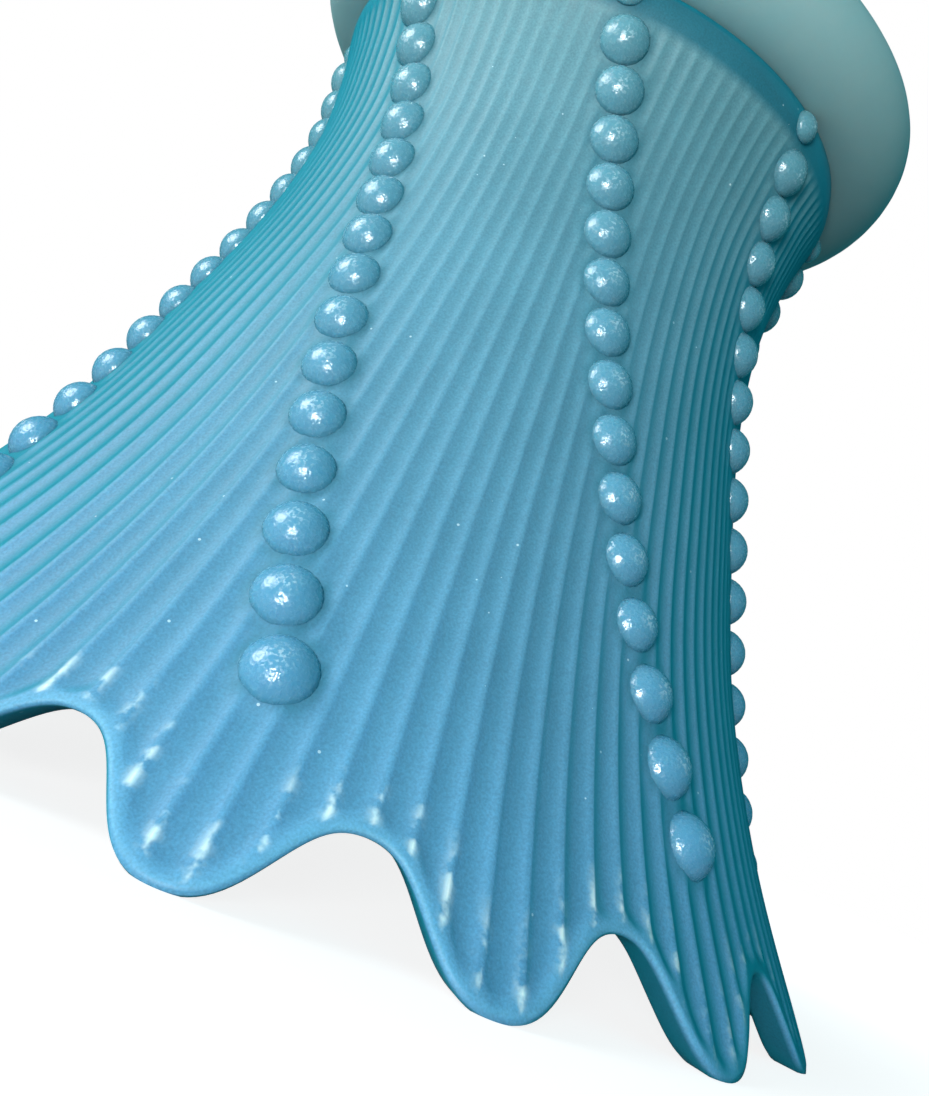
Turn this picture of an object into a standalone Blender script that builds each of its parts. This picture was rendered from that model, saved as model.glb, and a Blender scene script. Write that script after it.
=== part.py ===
"""Pressed satin glass lamp shade: a flared blue bell with a scalloped rim and spiral strings of beads,
and the pale round fitter flange that is joined to its neck. Metres, +Z up, standing on the rim."""

import math

import bmesh
import bpy
from mathutils import Matrix, Vector

# Bell: height and outer radius of the wall, from the lobe tips up to the seat of the flange
BELL_PROFILE = (
    (0.0, 0.080),
    (0.020, 0.0662),
    (0.040, 0.0555),
    (0.060, 0.0480),
    (0.080, 0.0420),
    (0.097, 0.0395),
    (0.110, 0.0405),
    (0.118, 0.0422),
    (0.121, 0.0418),
)
WALL = 0.0042
BELL_ROWS_OUTSIDE = 11
BELL_ROWS_INSIDE = 6

# Scalloped rim
LOBES = 16
LOBE_DEPTH = 0.0095
LOBE_FLAT = 1.4
LOBE_STATIONS = (-LOBE_FLAT, LOBE_FLAT, 4.6, 7.4, 11.25, 15.1, 17.9)

# Bead strings: each climbs the wall from the middle of every second lobe, leaning to the left
STRINGS = 8
BEADS = 16
BEAD_TOP_HEIGHT = 0.1185
BEAD_PITCH = 0.0061
BEAD_PITCH_GROWTH = 0.000033
BEAD_LEAN = 2.9
BEAD_DIAMETER = 0.0070
BEAD_GROWTH = 0.00043
BEADS_ALIKE = 12
FIRST_BEAD_DIAMETER = 0.0048
BEAD_FLATTENING = 0.56
BEAD_SIDES = 8
BEAD_RINGS = 5

# Fitter flange
SEAT_GAP = 0.0003
FLANGE_RADIUS = 0.0508
FLANGE_WIDEST = 0.0085
FLANGE_THICKNESS = 0.0115
FLANGE_NECK_RADIUS = 0.0420
FLANGE_TOP_ROUNDING = 0.0030
FLANGE_BORE_RADIUS = 0.0355
FLANGE_SIDES = 64

SHARP_EDGE = math.radians(40)


def clear_scene():
    for old in list(bpy.data.objects):
        bpy.data.objects.remove(old)


def glass(name, colour, roughness):
    material = bpy.data.materials.new(name)
    material.use_nodes = True
    shader = material.node_tree.nodes["Principled BSDF"]
    shader.inputs["Base Color"].default_value = (*colour, 1)
    shader.inputs["Roughness"].default_value = roughness
    return material


def add_object(name, mesh, material=None):
    placed = bpy.data.objects.new(name, mesh)
    bpy.context.collection.objects.link(placed)
    if material:
        mesh.materials.append(material)
    mesh.shade_smooth()
    mesh.set_sharp_from_angle(angle=SHARP_EDGE)
    return placed


def wall_radius(height):
    """Outer radius of the bell at a height, on a smooth curve through the profile's points."""
    last = len(BELL_PROFILE) - 2
    i = min(last, max(0, sum(height >= z for z, _ in BELL_PROFILE) - 1))
    (z0, r0), (z1, r1) = BELL_PROFILE[i], BELL_PROFILE[i + 1]
    before, after = BELL_PROFILE[max(0, i - 1)], BELL_PROFILE[min(last + 1, i + 2)]
    slope0 = (r1 - before[1]) / (z1 - before[0]) * (z1 - z0)
    slope1 = (after[1] - r0) / (after[0] - z0) * (z1 - z0)
    t = (height - z0) / (z1 - z0)
    return (
        (2 * t**3 - 3 * t**2 + 1) * r0
        + (t**3 - 2 * t**2 + t) * slope0
        + (3 * t**2 - 2 * t**3) * r1
        + (t**3 - t**2) * slope1
    )


def around(radius, azimuth, height):
    """A point given by its radius, its azimuth in degrees (0 at the front, rising to the right) and its height."""
    turn = math.radians(azimuth)
    return Vector((radius * math.sin(turn), -radius * math.cos(turn), height))


def rim_height(from_lobe):
    """Height of the scalloped edge, at this many degrees from the middle of a lobe."""
    swing = math.cos(math.radians(from_lobe * LOBES))
    if abs(from_lobe) <= LOBE_FLAT:
        return 0.0
    return LOBE_DEPTH / 2 * (1 - swing * (1.25 - 0.25 * swing**2))


def bell_mesh():
    """The bell's wall: rows of points up the outside, then down the inside, joined into one closed skin."""
    shell = bmesh.new()
    top = BELL_PROFILE[-1][0]
    outside = [(i / (BELL_ROWS_OUTSIDE - 1)) ** 1.25 for i in range(BELL_ROWS_OUTSIDE)]
    inside = [(i / (BELL_ROWS_INSIDE - 1)) ** 1.25 for i in range(BELL_ROWS_INSIDE)]
    rows = [(share, 0.0) for share in outside] + [(share, WALL) for share in reversed(inside)]
    rings = []
    for share, inset in rows:
        ring = []
        for lobe in range(LOBES):
            for station in LOBE_STATIONS:
                edge = rim_height(station)
                height = edge + share * (top - edge)
                azimuth = lobe * 360 / LOBES + station
                point = around(wall_radius(height) - inset, azimuth, height)
                ring.append(shell.verts.new(point))
        rings.append(ring)
    sides = len(rings[0])
    for lower, upper in zip(rings, rings[1:] + rings[:1]):
        for i in range(sides):
            j = (i + 1) % sides
            shell.faces.new((lower[i], lower[j], upper[j], upper[i]))
    bmesh.ops.recalc_face_normals(shell, faces=shell.faces)
    mesh = bpy.data.meshes.new("bell")
    shell.to_mesh(mesh)
    shell.free()
    return mesh


def bead_diameter(row):
    if row == 0:
        return FIRST_BEAD_DIAMETER
    return BEAD_DIAMETER + BEAD_GROWTH * max(row - BEADS_ALIKE, 0)


def bead_mesh():
    """Every bead of every string, each a flattened ball whose pole points straight out of the wall."""
    balls = bmesh.new()
    for string in range(STRINGS):
        for row in range(BEADS):
            height = BEAD_TOP_HEIGHT - BEAD_PITCH * row - BEAD_PITCH_GROWTH * row**2
            azimuth = string * 360 / STRINGS - BEAD_LEAN * (BEADS - 1 - row)
            rise = 0.001
            slope = (wall_radius(height + rise) - wall_radius(height - rise)) / (2 * rise)
            outward = (around(1, azimuth, 0) + Vector((0, 0, -slope))).normalized()
            radius = bead_diameter(row) / 2
            centre = around(wall_radius(height), azimuth, height)
            turn = outward.to_track_quat("Z", "Y").to_matrix().to_4x4()
            flatten = Matrix.Diagonal((1, 1, BEAD_FLATTENING, 1))
            bmesh.ops.create_uvsphere(
                balls,
                u_segments=BEAD_SIDES,
                v_segments=BEAD_RINGS,
                radius=radius,
                matrix=Matrix.Translation(centre) @ turn @ flatten,
            )
    mesh = bpy.data.meshes.new("bead_balls")
    balls.to_mesh(mesh)
    balls.free()
    return mesh


def flange_mesh():
    """The flange, turned from its section: a rounded underside that flares to the widest edge, and a flat top."""
    seat = BELL_PROFILE[-1][0] + SEAT_GAP
    widest = seat + FLANGE_WIDEST
    top = seat + FLANGE_THICKNESS
    section = [(FLANGE_BORE_RADIUS, seat), (FLANGE_NECK_RADIUS, seat)]
    for step in range(1, 6):
        angle = math.radians(90 * step / 5)
        section.append(
            (
                FLANGE_NECK_RADIUS + (FLANGE_RADIUS - FLANGE_NECK_RADIUS) * math.sin(angle),
                seat + FLANGE_WIDEST * (1 - math.cos(angle)),
            )
        )
    for step in range(1, 4):
        angle = math.radians(90 * step / 3)
        section.append(
            (
                FLANGE_RADIUS - FLANGE_TOP_ROUNDING * (1 - math.cos(angle)),
                widest + (top - widest) * math.sin(angle),
            )
        )
    section.append((FLANGE_BORE_RADIUS, top))
    skin = bmesh.new()
    rings = []
    for radius, height in section:
        ring = []
        for side in range(FLANGE_SIDES):
            ring.append(skin.verts.new(around(radius, side * 360 / FLANGE_SIDES, height)))
        rings.append(ring)
    for lower, upper in zip(rings, rings[1:] + rings[:1]):
        for i in range(FLANGE_SIDES):
            j = (i + 1) % FLANGE_SIDES
            skin.faces.new((lower[i], lower[j], upper[j], upper[i]))
    bmesh.ops.recalc_face_normals(skin, faces=skin.faces)
    mesh = bpy.data.meshes.new("fitter_flange")
    skin.to_mesh(mesh)
    skin.free()
    return mesh


clear_scene()

bell = add_object("bell", bell_mesh(), glass("blue_satin_glass", (0.20, 0.47, 0.60), 0.45))
balls = add_object("bead_balls", bead_mesh())
balls.hide_render = True
balls.display_type = "WIRE"
union = bell.modifiers.new("moulded_beads", "BOOLEAN")
union.operation = "UNION"
union.solver = "EXACT"
union.object = balls

add_object("fitter_flange", flange_mesh(), glass("pale_frosted_glass", (0.36, 0.45, 0.46), 0.5))
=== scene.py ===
"""A pressed satin glass lamp shade standing on its scalloped rim, seen close up from low down."""

import math

import bpy
import numpy as np
from mathutils import Matrix, Vector


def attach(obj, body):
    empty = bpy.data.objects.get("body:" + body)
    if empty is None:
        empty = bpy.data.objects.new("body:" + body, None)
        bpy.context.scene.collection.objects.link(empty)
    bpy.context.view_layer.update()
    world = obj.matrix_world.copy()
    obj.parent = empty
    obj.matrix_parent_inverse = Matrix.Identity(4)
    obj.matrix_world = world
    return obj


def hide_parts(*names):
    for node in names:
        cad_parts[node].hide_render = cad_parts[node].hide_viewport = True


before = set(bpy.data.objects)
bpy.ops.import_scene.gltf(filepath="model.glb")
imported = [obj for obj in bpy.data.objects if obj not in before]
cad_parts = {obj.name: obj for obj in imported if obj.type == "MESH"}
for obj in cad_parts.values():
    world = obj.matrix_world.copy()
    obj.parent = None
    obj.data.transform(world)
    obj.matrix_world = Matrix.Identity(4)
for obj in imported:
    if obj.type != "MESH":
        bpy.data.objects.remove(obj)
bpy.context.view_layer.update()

# ------------------------------------------------------------------ camera
# A hand-held camera close to the shade and just above the table. It looks a little upwards and is
# rolled, so that the shade's axis seems to lean to the upper right.
CAMERA_AZIMUTH = math.radians(5.5)
CAMERA_DISTANCE = 0.1727
CAMERA_HEIGHT = 0.0209
CAMERA_HEADING = math.radians(-2.67)
CAMERA_LIFT = math.radians(9.04)
CAMERA_ROLL = math.radians(23.47)

camera = bpy.data.objects.new("camera", bpy.data.cameras.new("camera"))
bpy.context.collection.objects.link(camera)
camera.data.sensor_fit = "VERTICAL"
camera.data.sensor_height = 24
camera.data.lens = 23.88
camera.data.clip_start = 0.005
camera.matrix_world = (
    Matrix.Translation(
        (
            CAMERA_DISTANCE * math.sin(CAMERA_AZIMUTH),
            -CAMERA_DISTANCE * math.cos(CAMERA_AZIMUTH),
            CAMERA_HEIGHT,
        )
    )
    @ Matrix.Rotation(-CAMERA_HEADING, 4, "Z")
    @ Matrix.Rotation(math.radians(90) + CAMERA_LIFT, 4, "X")
    @ Matrix.Rotation(CAMERA_ROLL, 4, "Z")
)
bpy.context.scene.camera = camera
bpy.context.scene.view_settings.view_transform = "Standard"

# ------------------------------------------------------------------ bell
# The body of the shade: one pressing of blue opaline glass with an acid-etched satin skin. Fine flutes
# run straight up the outside between the strings of beads, and the rim is scalloped in lobes.
BELL_PROFILE = np.array(
    (
        (0.0, 0.0800),
        (0.020, 0.0662),
        (0.040, 0.0555),
        (0.060, 0.0480),
        (0.080, 0.0420),
        (0.097, 0.0395),
        (0.110, 0.0405),
        (0.118, 0.0422),
        (0.121, 0.0418),
    )
)
BELL_TOP = 0.1210
WALL = 0.0042
LOBES = 16
LOBE_DEPTH = 0.0095
LOBE_BLEND = 0.030
EDGE_ROUNDING = 0.0007
RIBS = 112
COLUMNS_PER_RIB = 8
RIB_HEIGHT = 0.00045
RIB_FULL_RADIUS = 0.067
RIB_SHOULDER = 2.0
RIB_TOP_END = 0.1164
RIB_END_LENGTH = 0.0022
SMOOTH_BORDER = 0.0010
STRINGS = 8
BEADS = 16
BEADS_ALIKE = 12
BEAD_LEAN = math.radians(2.9)
BEAD_TOP_HEIGHT = 0.1189
BEAD_PITCH = 0.00615
BEAD_PITCH_GROWTH = 0.000033
BEAD_DIAMETER = 0.0070
BEAD_GROWTH = 0.00043
FIRST_BEAD_DIAMETER = 0.0048
BEAD_SHADE_WIDTH = 0.0010
BLUE_AT_RIM = (0.105, 0.32, 0.52, 1)
BLUE_AT_NECK = (0.155, 0.34, 0.375, 1)
BLUE_PAINTED_SHADE = (0.002, 0.15, 0.21, 1)
BLUE_SLANT_AND_SHADE = (0.001, 0.26, 0.35, 1)
BLUE_AT_BORDER = (0.20, 0.58, 0.80, 1)
DUST = (0.8, 0.95, 1.0, 1)
GLINT_WHITE = (0.85, 1.0, 1.0, 1)
COVE_HEIGHTS = (0.1153, 0.1168)


def wall_radius(height):
    """Outer radius of the bell at a height or heights, on a smooth curve through the profile."""
    z, r = BELL_PROFILE.T
    before, after = np.maximum(np.arange(len(z)) - 1, 0), np.minimum(np.arange(len(z)) + 1, len(z) - 1)
    slopes = (r[after] - r[before]) / (z[after] - z[before])
    i = np.clip(np.searchsorted(z, height, side="right") - 1, 0, len(z) - 2)
    step = z[i + 1] - z[i]
    t = (height - z[i]) / step
    return (
        (2 * t**3 - 3 * t**2 + 1) * r[i]
        + (t**3 - 2 * t**2 + t) * slopes[i] * step
        + (3 * t**2 - 2 * t**3) * r[i + 1]
        + (t**3 - t**2) * slopes[i + 1] * step
    )


def around(radius, azimuth, height):
    """Points from radius, azimuth in radians (0 at the front, rising to the right) and height."""
    return np.stack(
        np.broadcast_arrays(radius * np.sin(azimuth), -radius * np.cos(azimuth), height), -1
    )


def mesh_object(name, points, faces):
    """A new object in the scene, unturned and unscaled at the origin."""
    mesh = bpy.data.meshes.new(name)
    mesh.from_pydata([tuple(p) for p in points], [], [tuple(f) for f in faces])
    mesh.update()
    placed = bpy.data.objects.new(name, mesh)
    bpy.context.collection.objects.link(placed)
    return placed


def point_values(mesh, name, values):
    """Keeps one number for each point in the mesh, for the trees and the materials to read."""
    attribute = mesh.attributes.new(name, "FLOAT", "POINT")
    attribute.data.foreach_set("value", np.asarray(values, np.float32).ravel())


def ring_faces(rings, columns):
    """Quads of a closed skin of rings of points, each joined to the next and the last to the first."""
    lower = np.arange(rings * columns).reshape(rings, columns)
    upper = np.roll(lower, -1, axis=0)
    return np.stack([lower, np.roll(lower, -1, 1), np.roll(upper, -1, 1), upper], -1).reshape(-1, 4)


def nearest(points, targets):
    """Distance from each point to the nearest of the targets, worked out in slices to save memory."""
    found = []
    for part in np.array_split(points, max(1, len(points) // 2000)):
        found.append(np.sqrt(((part[:, None] - targets[None]) ** 2).sum(2).min(1)))
    return np.concatenate(found)


def add_node(tree, kind, settings=None, **values):
    """A node with its properties set, and its inputs filled from values or from other nodes' sockets."""
    made = tree.nodes.new(kind)
    for key, value in (settings or {}).items():
        setattr(made, key, value)
    for key, value in values.items():
        socket = made.inputs[int(key[1:]) if key[0] == "i" and key[1:].isdigit() else key]
        if isinstance(value, bpy.types.NodeSocket):
            tree.links.new(value, socket)
        else:
            socket.default_value = value
    return made


def calculate(tree, operation, *terms, clamp=False):
    """The result of a Math node, with terms that are numbers or other nodes' sockets."""
    made = tree.nodes.new("ShaderNodeMath")
    made.operation = operation
    made.use_clamp = clamp
    for socket, term in zip(made.inputs, terms):
        if isinstance(term, bpy.types.NodeSocket):
            tree.links.new(term, socket)
        else:
            socket.default_value = term
    return made.outputs[0]


def ranged(tree, value, low, high, to_low=0.0, to_high=1.0):
    """The value's place between low and high, carried over to the second range and kept inside it."""
    made = add_node(tree, "ShaderNodeMapRange", Value=value, i1=low, i2=high, i3=to_low, i4=to_high)
    return made.outputs[0]


def blend_colours(tree, share, first, second, how="MIX"):
    made = tree.nodes.new("ShaderNodeMix")
    made.data_type = "RGBA"
    made.blend_type = how
    for socket, value in ((made.inputs[0], share), (made.inputs[6], first), (made.inputs[7], second)):
        if isinstance(value, bpy.types.NodeSocket):
            tree.links.new(value, socket)
        else:
            socket.default_value = value
    return made.outputs[2]


# The beads' places come first, because the ribs stop where they meet a bead. The rows count downwards,
# the steps between them grow slowly, and the last few beads are larger.
bead_row = np.arange(BEADS)
bead_height = BEAD_TOP_HEIGHT - BEAD_PITCH * bead_row - BEAD_PITCH_GROWTH * bead_row * (bead_row - 1)
bead_diameter = BEAD_DIAMETER + BEAD_GROWTH * np.maximum(bead_row - BEADS_ALIKE, 0)
bead_diameter[0] = FIRST_BEAD_DIAMETER
string_of, row_of = [grid.ravel() for grid in np.meshgrid(np.arange(STRINGS), bead_row, indexing="ij")]
seat_azimuth = string_of * 2 * np.pi / STRINGS - BEAD_LEAN * (BEADS - 1 - row_of)
seat_height = bead_height[row_of]
seat_size = bead_diameter[row_of]
seats = around(wall_radius(seat_height), seat_azimuth, seat_height)

# The rim's height round the shade, and the rows of points up the outside and down the inside.
azimuth = np.arange(RIBS * COLUMNS_PER_RIB) * 2 * np.pi / (RIBS * COLUMNS_PER_RIB)
swing = np.cos(LOBES * azimuth)
edge_height = LOBE_DEPTH / 2 * (1 - swing * (1.25 - 0.25 * swing**2))
outer_rows = np.concatenate(
    [np.linspace(0.0006, 0.014, 19), np.linspace(0.0154, 0.112, 65), np.linspace(0.1130, BELL_TOP, 11)]
)
inner_rows = np.array([0.112, 0.090, 0.065, 0.040, 0.020, 0.008, 0.0006])


def scalloped(row):
    """Height of a row of points: the lowest rows follow the lobes, the higher ones are level."""
    return row + edge_height * np.clip(1 - row / LOBE_BLEND, 0, 1) ** 2


rings = [around(wall_radius(scalloped(0.0)) - 0.3 * EDGE_ROUNDING, azimuth, scalloped(0.00015))]
rings += [around(wall_radius(scalloped(row)), azimuth, scalloped(row)) for row in outer_rows]
rings += [around(wall_radius(BELL_TOP) - WALL, azimuth, BELL_TOP)]
rings += [around(wall_radius(scalloped(row)) - WALL, azimuth, scalloped(row)) for row in inner_rows]
rings += [around(wall_radius(scalloped(0.0)) - WALL + 0.3 * EDGE_ROUNDING, azimuth, scalloped(0.00015))]
rings += [around(wall_radius(scalloped(0.0)) - WALL + EDGE_ROUNDING, azimuth, scalloped(0.0))]
rings += [around(wall_radius(scalloped(0.0)) - EDGE_ROUNDING, azimuth, scalloped(0.0))]
bell_points = np.stack(rings)

# Distances from the rim's edge and from the beads, which say where the ribs run out.
skin = slice(1, 1 + len(outer_rows))
from_edge = np.full(bell_points.shape[:2], 1.0)
from_edge[skin] = nearest(bell_points[skin].reshape(-1, 3), bell_points[0]).reshape(-1, len(azimuth))
to_beads = np.full(bell_points.shape[:2], 0.0)
to_beads[skin] = np.min(
    [
        nearest(bell_points[skin].reshape(-1, 3), seats[row_of == row]) - bead_diameter[row] / 2
        for row in bead_row
    ],
    axis=0,
).reshape(-1, len(azimuth))
room = np.minimum(
    np.minimum(from_edge - SMOOTH_BORDER, RIB_TOP_END - bell_points[..., 2]),
    to_beads + 0.3 * RIB_END_LENGTH,
)
rib_end = np.clip(1 - room / RIB_END_LENGTH, 0, 2)
rib_end[: skin.start] = 2
rib_end[skin.stop :] = 2

plain_bell = mesh_object("plain_bell", bell_points.reshape(-1, 3), ring_faces(len(rings), len(azimuth)))
plain_bell.data.shade_smooth()
point_values(plain_bell.data, "rib_end", rib_end)
point_values(plain_bell.data, "from_edge", np.clip(from_edge * 1000, 0, 20))
inner_face = np.ones(bell_points.shape[:2])
inner_face[: skin.stop] = 0
point_values(plain_bell.data, "inner_face", inner_face)
# Painted shade mark: a narrow ring on the wall round each bead, which the material darkens.
near_bead = np.clip(1 - np.abs(to_beads) / BEAD_SHADE_WIDTH, 0, 1) * (to_beads != 0)
point_values(plain_bell.data, "near_bead", near_bead)


def new_tree(name, inputs):
    """A Geometry Nodes tree with a geometry in and out and the given named number inputs."""
    tree = bpy.data.node_groups.new(name, "GeometryNodeTree")
    tree.interface.new_socket("Geometry", in_out="INPUT", socket_type="NodeSocketGeometry")
    for label, kind in inputs:
        tree.interface.new_socket(label, in_out="INPUT", socket_type=kind)
    tree.interface.new_socket("Geometry", in_out="OUTPUT", socket_type="NodeSocketGeometry")
    return tree


def kept_value(tree, name, kind="FLOAT"):
    """A named attribute of the mesh, for a Geometry Nodes tree."""
    reader = add_node(tree, "GeometryNodeInputNamedAttribute", {"data_type": kind}, Name=name)
    return reader.outputs["Attribute"]


def finish_tree(tree, geometry, glass):
    """The tree's ending: real mesh instead of instances, in the given glass."""
    realised = add_node(tree, "GeometryNodeRealizeInstances", Geometry=geometry)
    finished = add_node(tree, "GeometryNodeSetMaterial", Geometry=realised.outputs[0], Material=glass)
    tree.links.new(finished.outputs[0], tree.nodes.new("NodeGroupOutput").inputs[0])


def grown(source, name, tree, values):
    """The plain mesh that a Geometry Nodes tree makes of an object, as a new object in its place."""
    modifier = source.modifiers.new(tree.name, "NODES")
    modifier.node_group = tree
    for item in tree.interface.items_tree:
        if item.in_out == "INPUT" and item.name in values:
            modifier[item.identifier] = values[item.name]
    bpy.context.view_layer.update()
    graph = bpy.context.evaluated_depsgraph_get()
    mesh = bpy.data.meshes.new_from_object(source.evaluated_get(graph))
    mesh.name = name
    bpy.data.objects.remove(source)
    made = bpy.data.objects.new(name, mesh)
    bpy.context.collection.objects.link(made)
    return made


# Satin etch: the fine frosted grain that the acid leaves on both glasses, with a slow cloudiness in it.
etch = bpy.data.node_groups.new("satin_etch", "ShaderNodeTree")
etch.interface.new_socket("Grain Scale", in_out="INPUT", socket_type="NodeSocketFloat")
etch.interface.new_socket("Roughness", in_out="INPUT", socket_type="NodeSocketFloat")
etch.interface.new_socket("Roughness", in_out="OUTPUT", socket_type="NodeSocketFloat")
etch.interface.new_socket("Height", in_out="OUTPUT", socket_type="NodeSocketFloat")
etch.interface.new_socket("Cloud", in_out="OUTPUT", socket_type="NodeSocketFloat")
etch_in = etch.nodes.new("NodeGroupInput")
etch_out = etch.nodes.new("NodeGroupOutput")
place = etch.nodes.new("ShaderNodeTexCoord").outputs["Object"]
grain = add_node(etch, "ShaderNodeTexNoise", Vector=place, Scale=etch_in.outputs["Grain Scale"], Detail=3.0)
cloud = add_node(etch, "ShaderNodeTexNoise", Vector=place, Scale=55.0, Detail=4.0, Roughness=0.6)
wear = calculate(etch, "MULTIPLY_ADD", cloud.outputs["Fac"], 0.16, -0.08)
etch.links.new(calculate(etch, "ADD", etch_in.outputs["Roughness"], wear), etch_out.inputs["Roughness"])
etch.links.new(grain.outputs["Fac"], etch_out.inputs["Height"])
etch.links.new(cloud.outputs["Fac"], etch_out.inputs["Cloud"])


def glass_material(name, roughness, milkiness):
    """A satin glass: the colour comes later, the etch, the gloss and the milky depth are set here."""
    material = bpy.data.materials.new(name)
    material.use_nodes = True
    tree = material.node_tree
    shader = tree.nodes["Principled BSDF"]
    satin = tree.nodes.new("ShaderNodeGroup")
    satin.node_tree = etch
    satin.inputs["Grain Scale"].default_value = 3600
    satin.inputs["Roughness"].default_value = roughness
    tree.links.new(satin.outputs["Roughness"], shader.inputs["Roughness"])
    bump = add_node(tree, "ShaderNodeBump", Strength=0.35, Distance=0.00006, Height=satin.outputs["Height"])
    tree.links.new(bump.outputs["Normal"], shader.inputs["Normal"])
    shader.inputs["IOR"].default_value = 1.5
    shader.inputs["Specular IOR Level"].default_value = 0.5
    shader.inputs["Subsurface Weight"].default_value = milkiness
    shader.inputs["Subsurface Radius"].default_value = (0.35, 0.85, 1.0)
    shader.inputs["Subsurface Scale"].default_value = 0.0035
    return material, tree, shader, satin


def mark(tree, name):
    """A value that the mesh carries at its points, for a material."""
    return add_node(tree, "ShaderNodeAttribute", {"attribute_name": name}).outputs["Fac"]


def height_in_object(tree, place):
    return add_node(tree, "ShaderNodeSeparateXYZ", Vector=place).outputs["Z"]


def deepened_and_shaded(tree, colour):
    """The blue glass is darkened where it is seen at a slant: partly for the longer way through it, partly
    as painted shade for the slanting side turned from the light.
    """
    facing = add_node(tree, "ShaderNodeLayerWeight", Blend=0.5).outputs["Facing"]
    return blend_colours(tree, ranged(tree, facing, 0.36, 0.70), colour, BLUE_SLANT_AND_SHADE)


blue_glass, tree, shader, satin = glass_material("blue_satin_glass", 0.52, 0.35)
place = tree.nodes.new("ShaderNodeTexCoord").outputs["Object"]
height = height_in_object(tree, place)
colour = blend_colours(tree, ranged(tree, height, 0.0, BELL_TOP), BLUE_AT_RIM, BLUE_AT_NECK)
# Painted shade: the colour is darkened down in the flutes, round each bead, on the inner wall and in the
# cove below the flange.
for name, share in (("groove", 0.16), ("near_bead", 0.55), ("inner_face", 0.9)):
    deeper = calculate(tree, "MULTIPLY", mark(tree, name), share)
    colour = blend_colours(tree, deeper, colour, BLUE_PAINTED_SHADE)
colour = blend_colours(tree, ranged(tree, height, *COVE_HEIGHTS, 0.0, 0.85), colour, BLUE_PAINTED_SHADE)
# Painted edge light: the border along the rim is lightened towards pale blue, like thin glass lit through.
pale = calculate(tree, "MULTIPLY", mark(tree, "pale_border"), 0.3)
colour = blend_colours(tree, pale, colour, BLUE_AT_BORDER)
# The etch mottles the colour twice over: slowly with its clouds and finely with its grain.
for source, darkest, lightest in (("Cloud", 0.92, 1.06), ("Height", 0.86, 1.14)):
    mottled = ranged(tree, satin.outputs[source], 0.3, 0.7, darkest, lightest)
    colour = blend_colours(tree, 1.0, colour, mottled, "MULTIPLY")
# A few pale specks of dust, and painted white glints along the ridges where they run out at the rim; the
# glass there is also made glossier.
specks = add_node(tree, "ShaderNodeTexVoronoi", Vector=place, Scale=420.0)
chosen = add_node(tree, "ShaderNodeSeparateColor", Color=specks.outputs["Color"]).outputs[0]
close = calculate(tree, "LESS_THAN", specks.outputs["Distance"], calculate(tree, "MULTIPLY", chosen, 0.075))
speck = calculate(tree, "MULTIPLY", close, calculate(tree, "GREATER_THAN", chosen, 0.72))
colour = blend_colours(tree, calculate(tree, "MULTIPLY", speck, 0.6), colour, DUST)
glint_breakup = add_node(tree, "ShaderNodeTexNoise", Vector=place, Scale=420.0, Detail=3.0).outputs["Fac"]
glint_and_wear = calculate(tree, "MULTIPLY", mark(tree, "tip_wear"), ranged(tree, glint_breakup, 0.48, 0.62))
glint_and_wear = calculate(tree, "MULTIPLY", glint_and_wear, ranged(tree, height, 0.010, 0.026, 1.0, 0.3))
colour = blend_colours(tree, calculate(tree, "MULTIPLY", glint_and_wear, 0.95), colour, GLINT_WHITE)
tree.links.new(deepened_and_shaded(tree, colour), shader.inputs["Base Color"])
polished = calculate(tree, "SUBTRACT", satin.outputs["Roughness"], calculate(tree, "MULTIPLY", glint_and_wear, 0.35))
tree.links.new(polished, shader.inputs["Roughness"])

# Flutes: each rib is a shallow hollow between two sharp ridges, and it closes in a rounded end at the
# rim, below the flange and round the beads. The mesh also keeps the marks that the material reads.
raise_ribs = new_tree(
    "raise_ribs",
    (
        ("Rib Count", "NodeSocketFloat"),
        ("Rib Height", "NodeSocketFloat"),
        ("Shoulder", "NodeSocketFloat"),
        ("Full Radius", "NodeSocketFloat"),
        ("Glass", "NodeSocketMaterial"),
    ),
)
ribs_in = raise_ribs.nodes.new("NodeGroupInput")
spot = raise_ribs.nodes.new("GeometryNodeInputPosition")
axes = add_node(raise_ribs, "ShaderNodeSeparateXYZ", Vector=spot.outputs[0])
backwards = calculate(raise_ribs, "MULTIPLY", axes.outputs["Y"], -1.0)
turn = calculate(raise_ribs, "ARCTAN2", axes.outputs["X"], backwards)
count = calculate(raise_ribs, "DIVIDE", ribs_in.outputs["Rib Count"], 2 * math.pi)
across = calculate(raise_ribs, "FRACT", calculate(raise_ribs, "MULTIPLY_ADD", turn, count, RIBS + 0.5))
off_middle = calculate(raise_ribs, "ABSOLUTE", calculate(raise_ribs, "SUBTRACT", across, 0.5))
to_ridge = calculate(raise_ribs, "MULTIPLY", off_middle, 2.0)
flank = calculate(raise_ribs, "POWER", to_ridge, ribs_in.outputs["Shoulder"])
end_value = kept_value(raise_ribs, "rib_end")
tip = calculate(raise_ribs, "POWER", end_value, 2.0)
hollow = calculate(raise_ribs, "SUBTRACT", calculate(raise_ribs, "SUBTRACT", 1.0, flank), tip, clamp=True)
level_spot = add_node(
    raise_ribs, "ShaderNodeVectorMath", {"operation": "MULTIPLY"}, i0=spot.outputs[0], i1=(1, 1, 0)
)
radius = add_node(raise_ribs, "ShaderNodeVectorMath", {"operation": "LENGTH"}, Vector=level_spot.outputs[0])
widening = calculate(raise_ribs, "DIVIDE", radius.outputs["Value"], ribs_in.outputs["Full Radius"])
fullness = calculate(raise_ribs, "POWER", widening, 1.7)
level = calculate(raise_ribs, "MULTIPLY", calculate(raise_ribs, "SUBTRACT", 0.5, hollow), fullness)
lift = calculate(raise_ribs, "MULTIPLY", level, ribs_in.outputs["Rib Height"])
normal = raise_ribs.nodes.new("GeometryNodeInputNormal").outputs[0]
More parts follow.
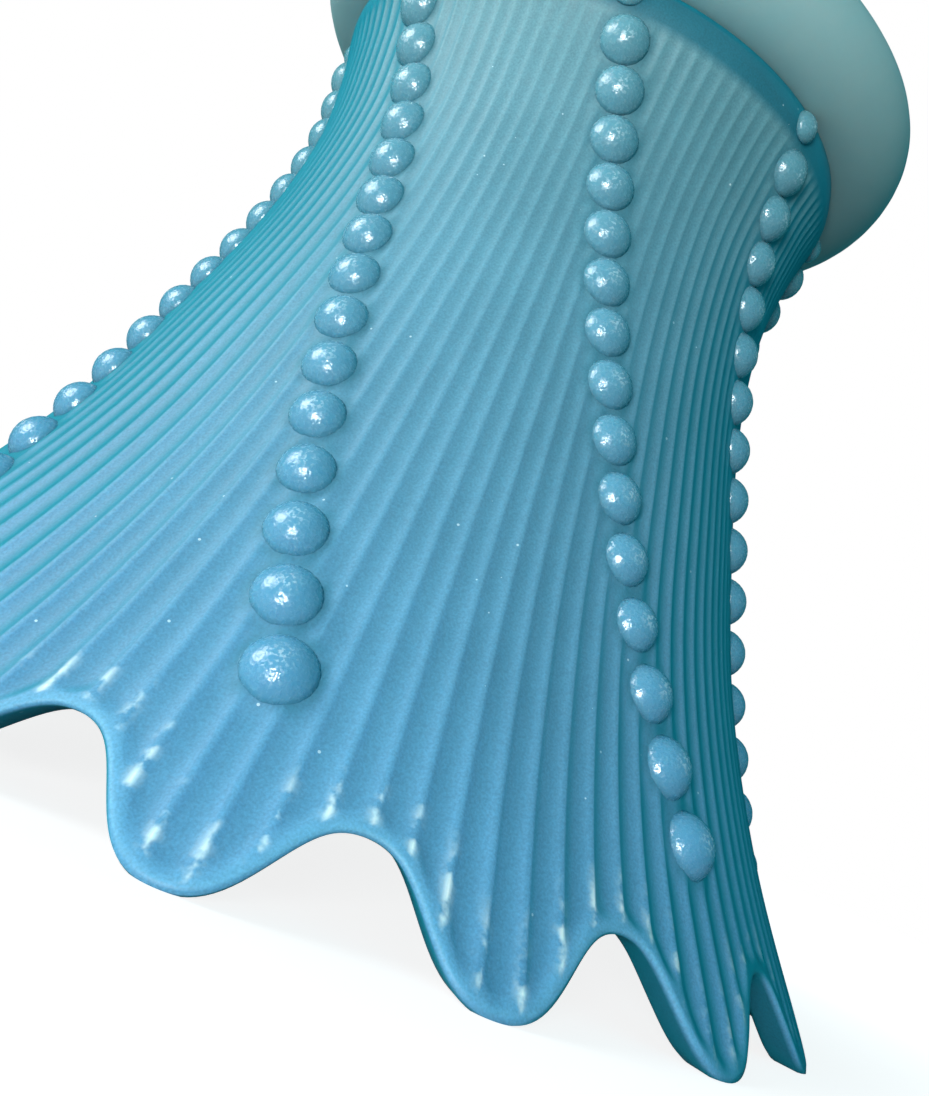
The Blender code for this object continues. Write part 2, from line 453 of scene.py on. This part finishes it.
push = add_node(raise_ribs, "ShaderNodeVectorMath", {"operation": "SCALE"}, Vector=normal, Scale=lift)
bell_mesh = add_node(
    raise_ribs, "GeometryNodeSetPosition", Geometry=ribs_in.outputs["Geometry"], Offset=push.outputs[0]
).outputs[0]
# Painted shade mark: the middle of each flute, which the material darkens.
in_flute = calculate(raise_ribs, "LESS_THAN", end_value, 0.6)
groove = calculate(raise_ribs, "MULTIPLY", calculate(raise_ribs, "POWER", hollow, 2.0), in_flute)
edge_value = kept_value(raise_ribs, "from_edge")
by_edge = ranged(raise_ribs, edge_value, 3.0, 7.0, 1.0, 0.0)
off_edge = ranged(raise_ribs, edge_value, 0.8, 1.4)
at_rim = calculate(raise_ribs, "MULTIPLY", by_edge, off_edge)
# Painted glint mark on the ridges near the rim, which also makes them glossier.
tip_wear = calculate(raise_ribs, "MULTIPLY", at_rim, calculate(raise_ribs, "POWER", to_ridge, 5.0))
# Painted edge light mark: strongest at the rim's edge, gone 2.2 mm in.
pale_border = ranged(raise_ribs, edge_value, 0.4, 2.2, 1.0, 0.0)
for name, value in (("groove", groove), ("pale_border", pale_border), ("tip_wear", tip_wear)):
    bell_mesh = add_node(
        raise_ribs,
        "GeometryNodeStoreNamedAttribute",
        {"data_type": "FLOAT", "domain": "POINT"},
        Geometry=bell_mesh,
        Name=name,
        Value=value,
    ).outputs[0]
finish_tree(raise_ribs, bell_mesh, ribs_in.outputs["Glass"])
bell = grown(
    plain_bell,
    "ribbed_bell",
    raise_ribs,
    {
        "Rib Count": float(RIBS),
        "Rib Height": RIB_HEIGHT,
        "Shoulder": RIB_SHOULDER,
        "Full Radius": RIB_FULL_RADIUS,
        "Glass": blue_glass,
    },
)
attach(bell, "root")
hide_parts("bell")

# ------------------------------------------------------------------ beads
# Eight strings of sixteen round beads, moulded in one with the bell: each string climbs from the
# middle of every second lobe and leans round the wall as it rises. The beads grow towards the rim.
BEAD_SIDES = 20
BEAD_SINKING = 0.40
BEAD_CURVATURE = 1.05
BEAD_STANDOFF = 0.0001
BEAD_SHARES = (0.20, 0.40, 0.58, 0.74, 0.87, 0.965)
BEAD_ROOT = ((0.96, -0.12), (0.80, -0.25))
BEAD_SPARKLE_FLECK = (0.85, 0.97, 1.0, 1)

bead_crown = BEAD_CURVATURE - BEAD_SINKING
dome_rings = [(share, math.sqrt(BEAD_CURVATURE**2 - share**2) - BEAD_SINKING) for share in BEAD_SHARES]
dome_rings += BEAD_ROOT
sides = np.arange(BEAD_SIDES)
side_turn = sides * 2 * np.pi / BEAD_SIDES
# One bead of radius 1: a dome whose flanks turn in below the glass it grows from.
dome_points = [(0, 0, bead_crown)]
for radius, level in dome_rings:
    dome_points += [(radius * math.cos(a), radius * math.sin(a), level) for a in side_turn]
dome_points.append((0, 0, BEAD_ROOT[-1][1]))
dome_faces = [(0, 1 + i, 1 + (i + 1) % BEAD_SIDES) for i in sides]
for band in range(len(dome_rings) - 1):
    low = 1 + band * BEAD_SIDES
    for i in sides:
        j = (i + 1) % BEAD_SIDES
        dome_faces.append((low + i, low + BEAD_SIDES + i, low + BEAD_SIDES + j, low + j))
low = 1 + (len(dome_rings) - 1) * BEAD_SIDES
dome_faces += [(len(dome_points) - 1, low + (i + 1) % BEAD_SIDES, low + i) for i in sides]
dome = mesh_object("bead_dome", dome_points, dome_faces)
dome.data.shade_smooth()
ring_shares = [0.0] + [radius for radius, _ in dome_rings for _ in sides] + [1.0]
point_values(dome.data, "bead_share", ring_shares)

# Where each bead sits and which way is straight out from the wall there.
nudge = 0.0005
slope = (wall_radius(seat_height + nudge) - wall_radius(seat_height - nudge)) / (2 * nudge)
outward = around(1.0, seat_azimuth, 0.0)
outward[:, 2] = -slope
outward /= np.linalg.norm(outward, axis=1)[:, None]
bead_seats = mesh_object("bead_seats", seats + BEAD_STANDOFF * outward, [])
point_values(bead_seats.data, "bead_radius", seat_size / 2)
facing_out = bead_seats.data.attributes.new("outward", "FLOAT_VECTOR", "POINT")
facing_out.data.foreach_set("vector", outward.astype(np.float32).ravel())

set_beads = new_tree("set_beads", (("Bead", "NodeSocketObject"), ("Glass", "NodeSocketMaterial")))
beads_in = set_beads.nodes.new("NodeGroupInput")
bead_shape = add_node(set_beads, "GeometryNodeObjectInfo", Object=beads_in.outputs["Bead"])
radius_value = kept_value(set_beads, "bead_radius")
outward_value = kept_value(set_beads, "outward", "FLOAT_VECTOR")
upright = add_node(set_beads, "FunctionNodeAlignRotationToVector", {"axis": "Z"}, Vector=outward_value)
copies = add_node(
    set_beads,
    "GeometryNodeInstanceOnPoints",
    Points=beads_in.outputs["Geometry"],
    Instance=bead_shape.outputs["Geometry"],
    Rotation=upright.outputs[0],
    Scale=radius_value,
)
finish_tree(set_beads, copies.outputs[0], beads_in.outputs["Glass"])

bead_glass, tree, shader, satin = glass_material("bead_satin_glass", 0.30, 0.6)
place = tree.nodes.new("ShaderNodeTexCoord").outputs["Object"]
rise = ranged(tree, height_in_object(tree, place), 0.0, BELL_TOP)
colour = blend_colours(tree, rise, BLUE_AT_RIM, BLUE_AT_NECK)
colour = blend_colours(tree, 0.1, colour, BLUE_AT_BORDER)
base = mark(tree, "bead_share")
# Painted shade round the foot of each bead, where it turns in to the wall.
colour = blend_colours(tree, ranged(tree, base, 0.86, 1.0, 0.0, 0.25), colour, BLUE_PAINTED_SHADE)
# The beads are fire-polished and finely pocked, and flecked paler on top: scuffing, and also a painted
# sparkle of highlight.
pits = add_node(tree, "ShaderNodeTexNoise", Vector=place, Scale=2400.0, Detail=2.0).outputs["Fac"]
pocked = add_node(tree, "ShaderNodeBump", Strength=0.8, Distance=0.0001, Height=pits)
sparkle_flecks = ranged(tree, pits, 0.48, 0.58)
crown_sparkle = ranged(tree, base, 0.10, 0.45, 0.35, 0.0)
colour = blend_colours(tree, calculate(tree, "MULTIPLY", sparkle_flecks, crown_sparkle), colour, BEAD_SPARKLE_FLECK)
shader.inputs["Specular IOR Level"].default_value = 1.0
tree.links.new(pocked.outputs["Normal"], shader.inputs["Normal"])
tree.links.new(ranged(tree, pits, 0.4, 0.6, 0.13, 0.30), shader.inputs["Roughness"])
tree.links.new(colour, shader.inputs["Base Color"])
beads = grown(bead_seats, "bead_strings", set_beads, {"Bead": dome, "Glass": bead_glass})
bpy.data.objects.remove(dome)
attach(beads, "root")
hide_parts("bell")

# ------------------------------------------------------------------ flange
# The fitter flange: a round disc of pale frosted glass joined to the neck, for the lamp's holder to
# grip. Its underside is rounded, and the wide bore through it is the shade's upper opening.
FLANGE_SEAT = 0.1213
FLANGE_TOP = 0.1328
FLANGE_RADIUS = 0.0508
FLANGE_NECK_RADIUS = 0.0420
FLANGE_BORE_RADIUS = 0.0355
FLANGE_WIDEST = 0.0085
FLANGE_SIDES = 256
FROSTED_PALE = (0.37, 0.55, 0.54, 1)
FROSTED_DEEP = (0.26, 0.50, 0.52, 1)

quarter = np.radians(np.linspace(0, 90, 13))
section = [
    (FLANGE_BORE_RADIUS + 0.0006, FLANGE_SEAT),
    (0.5 * (FLANGE_BORE_RADIUS + FLANGE_NECK_RADIUS), FLANGE_SEAT),
]
section += [
    (
        FLANGE_NECK_RADIUS + (FLANGE_RADIUS - FLANGE_NECK_RADIUS) * math.sin(a),
        FLANGE_SEAT + FLANGE_WIDEST * (1 - math.cos(a)),
    )
    for a in quarter
]
section += [
    (
        FLANGE_RADIUS - 0.003 * (1 - math.cos(a)),
        FLANGE_SEAT + FLANGE_WIDEST + (FLANGE_TOP - FLANGE_SEAT - FLANGE_WIDEST) * math.sin(a),
    )
    for a in quarter[2::2]
]
section += [(FLANGE_BORE_RADIUS + 0.0008, FLANGE_TOP), (FLANGE_BORE_RADIUS, FLANGE_TOP - 0.0008)]
section += [(FLANGE_BORE_RADIUS, FLANGE_SEAT + 0.0006)]
flange_turn = np.arange(FLANGE_SIDES) * 2 * np.pi / FLANGE_SIDES
flange_points = np.stack([around(radius, flange_turn, level) for radius, level in section])
flange = mesh_object(
    "frosted_flange", flange_points.reshape(-1, 3), ring_faces(len(section), FLANGE_SIDES)
)
flange.data.shade_smooth()
flange.data.set_sharp_from_angle(angle=math.radians(50))
pale_glass, tree, shader, satin = glass_material("pale_frosted_glass", 0.5, 0.5)
clouded = ranged(tree, satin.outputs["Cloud"], 0.3, 0.7, 0.0, 0.5)
tree.links.new(blend_colours(tree, clouded, FROSTED_PALE, FROSTED_DEEP), shader.inputs["Base Color"])
flange.data.materials.append(pale_glass)
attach(flange, "root")
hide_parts("fitter_flange")

# ------------------------------------------------------------------ table and light
# A plain white table top under soft light: a large soft box high on the left and a small low one in
# front. The room itself gives only a dim teal light, so the far side of the shade goes deep.
floor = mesh_object("table_top", [(-3, -3, 0), (3, -3, 0), (3, 3, 0), (-3, 3, 0)], [(0, 1, 2, 3)])
floor_material = bpy.data.materials.new("white_table")
floor_material.use_nodes = True
tree = floor_material.node_tree
shader = tree.nodes["Principled BSDF"]
place = tree.nodes.new("ShaderNodeTexCoord").outputs["Object"]
paper = add_node(tree, "ShaderNodeTexNoise", Vector=place, Scale=90.0, Detail=3.0)
tone = ranged(tree, paper.outputs["Fac"], 0.3, 0.7, 0.30, 0.32)
tree.links.new(blend_colours(tree, 1.0, (1, 1, 1, 1), tone, "MULTIPLY"), shader.inputs["Base Color"])
shader.inputs["Roughness"].default_value = 0.9
# The table glows white to the camera; near the shade the glow is dimmed, a painted shade round its rim.
away = add_node(tree, "ShaderNodeVectorMath", {"operation": "LENGTH"}, Vector=place).outputs["Value"]
glow_dimmed_near_shade = ranged(tree, away, 0.08, 0.15, 0.85, 1.0)
glow = add_node(tree, "ShaderNodeEmission", Color=(1, 1, 1, 1), Strength=glow_dimmed_near_shade)
lit = tree.nodes.new("ShaderNodeAddShader")
tree.links.new(shader.outputs[0], lit.inputs[0])
tree.links.new(glow.outputs[0], lit.inputs[1])
seen = tree.nodes.new("ShaderNodeLightPath").outputs["Is Camera Ray"]
table = tree.nodes.new("ShaderNodeMixShader")
tree.links.new(seen, table.inputs[0])
tree.links.new(shader.outputs[0], table.inputs[1])
tree.links.new(lit.outputs[0], table.inputs[2])
tree.links.new(table.outputs[0], tree.nodes["Material Output"].inputs["Surface"])
floor.data.materials.append(floor_material)


def soft_box(name, position, target, size, power, colour):
    light = bpy.data.lights.new(name, "AREA")
    light.shape = "DISK"
    light.size = size
    light.energy = power
    light.color = colour
    placed = bpy.data.objects.new(name, light)
    bpy.context.collection.objects.link(placed)
    aim = Vector(target) - Vector(position)
    placed.matrix_world = Matrix.Translation(position) @ aim.to_track_quat("-Z", "Y").to_matrix().to_4x4()


soft_box("window", (-0.52, -0.22, 0.33), (0, 0, 0.04), size=0.36, power=2.3, colour=(1, 1, 1))
soft_box("low_lamp", (-0.05, -0.42, 0.04), (0, 0, 0.06), size=0.12, power=1.42, colour=(0.93, 0.98, 1.0))

room = bpy.data.worlds.new("pale_room")
bpy.context.scene.world = room
room.use_nodes = True
tree = room.node_tree
backdrop = tree.nodes["Background"]
backdrop.inputs["Color"].default_value = (1, 1, 1, 1)
backdrop.inputs["Strength"].default_value = 1.0
ambient = add_node(tree, "ShaderNodeBackground", Color=(0.02, 0.85, 1, 1), Strength=0.24)
seen = tree.nodes.new("ShaderNodeLightPath").outputs["Is Camera Ray"]
shown = tree.nodes.new("ShaderNodeMixShader")
tree.links.new(seen, shown.inputs[0])
tree.links.new(ambient.outputs[0], shown.inputs[1])
tree.links.new(backdrop.outputs[0], shown.inputs[2])
tree.links.new(shown.outputs[0], tree.nodes["World Output"].inputs["Surface"])
